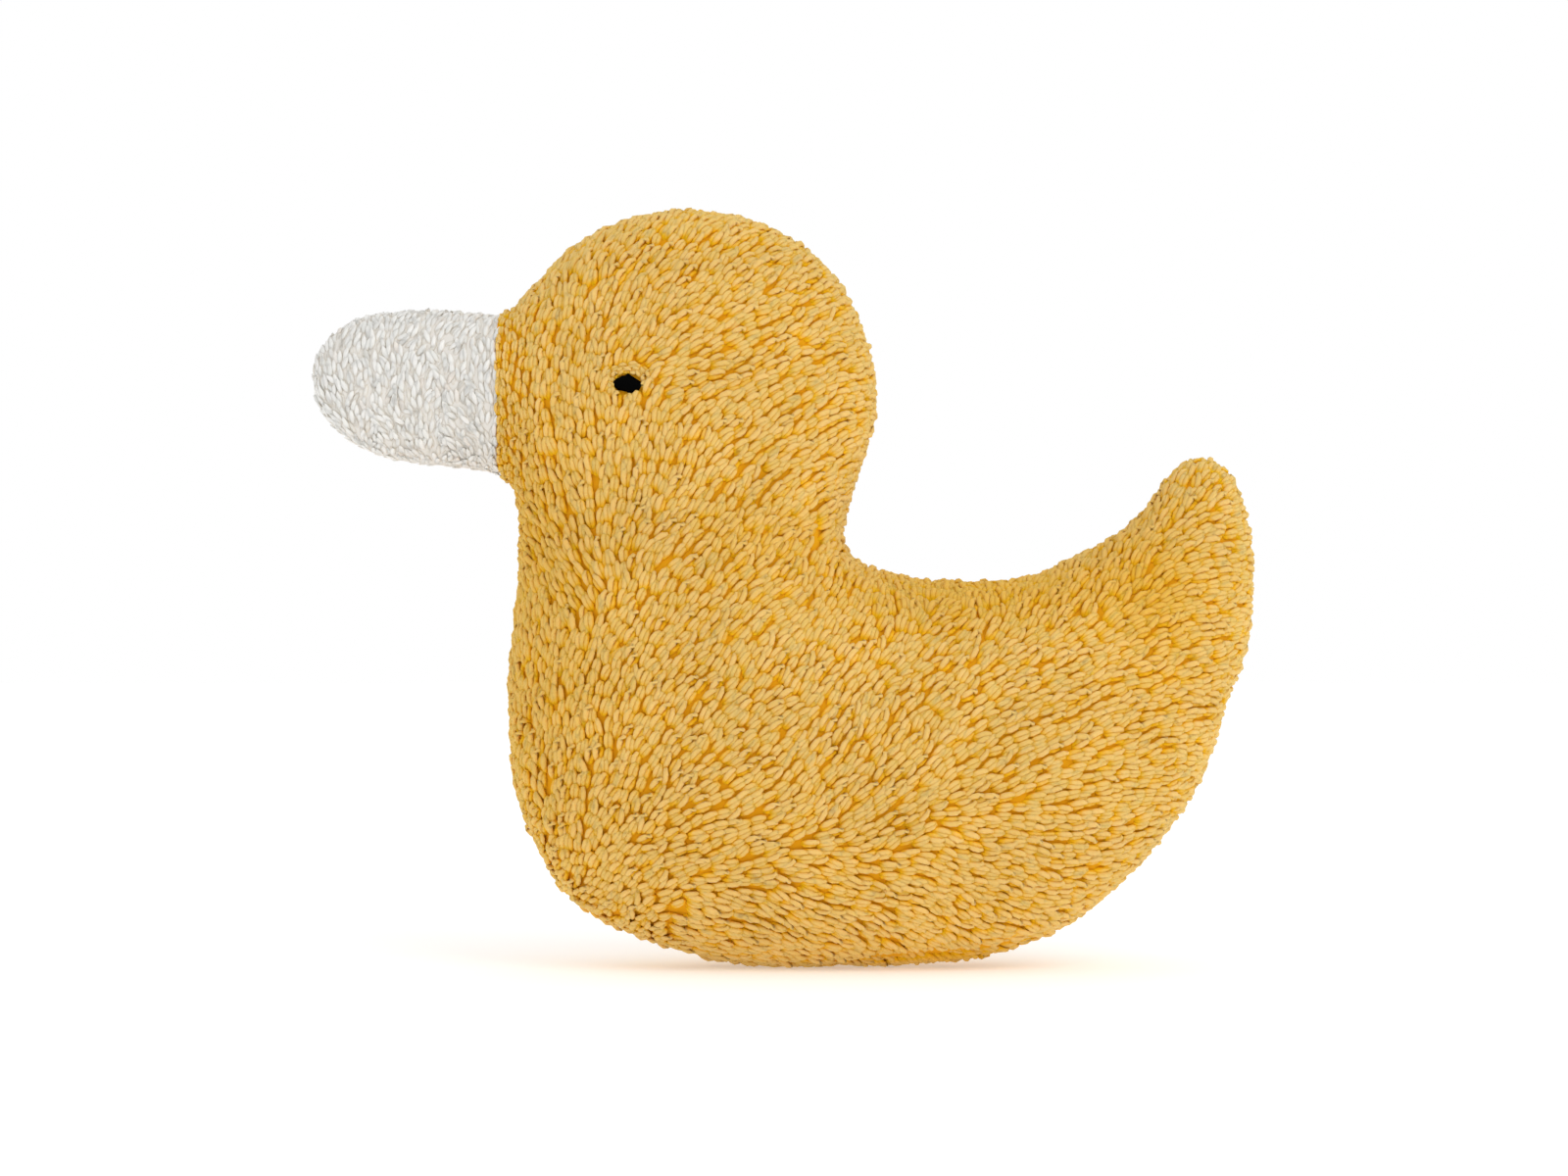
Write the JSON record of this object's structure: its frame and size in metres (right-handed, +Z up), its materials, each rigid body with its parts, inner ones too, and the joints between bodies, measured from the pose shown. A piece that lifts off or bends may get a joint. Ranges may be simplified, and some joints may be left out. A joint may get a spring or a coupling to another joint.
{
  "type": "plush duck",
  "caption": "Upright stuffed duck of yellow loop-pile cloth with a pale beak, embroidered eyes and a sewn mid seam; neck, beak and tail bend sideways.",
  "frame": {"origin": "centre of the bounding box's underside, on the surface the duck stands on", "axes": "+Z up; the beak points to -X and the tail to +X; the duck's left side faces -Y"},
  "size_m": [0.22, 0.07, 0.177],
  "materials": {
    "pile_yellow": "matte",
    "pile_pale": "matte",
    "thread_yellow": "matte",
    "thread_pale": "matte",
    "thread_black": "satin",
    "filling": "matte"
  },
  "bodies": {
    "trunk": {"body_cover_left": "pile_yellow", "body_cover_right": "pile_yellow", "body_stuffing": "filling", "body_seam_back": "thread_yellow", "body_seam_breast": "thread_yellow", "body_seam_rump": "thread_yellow", "closing_stitch": "thread_yellow"},
    "head": {"head_cover_left": "pile_yellow", "head_cover_right": "pile_yellow", "head_stuffing": "filling", "head_seam_throat": "thread_yellow", "head_seam_crown": "thread_yellow", "eye_left": "thread_black", "eye_right": "thread_black", "beak_root_seam": "thread_yellow"},
    "beak": {"beak_cover_left": "pile_pale", "beak_cover_right": "pile_pale", "beak_stuffing": "filling", "beak_seam": "thread_pale"},
    "tail": {"tail_cover_left": "pile_yellow", "tail_cover_right": "pile_yellow", "tail_stuffing": "filling", "tail_seam": "thread_yellow"}
  },
  "joints": [
    {"name": "neck_bend", "type": "hinge", "parent": "trunk", "child": "head", "pos_m": [-0.0238, 0, 0.1093], "axis": [1, 0, 0], "range_deg": [-20, 20], "stiffness_Nm_per_rad": 0.12},
    {"name": "beak_bend", "type": "hinge", "parent": "head", "child": "beak", "pos_m": [-0.07287, 0, 0.13358], "axis": [0, 0, 1], "range_deg": [-20, 20], "stiffness_Nm_per_rad": 0.04},
    {"name": "tail_bend", "type": "hinge", "parent": "trunk", "child": "tail", "pos_m": [0.08784, 0, 0.08118], "axis": [0.7431, 0, -0.6691], "range_deg": [-20, 20], "stiffness_Nm_per_rad": 0.03}
  ]
}
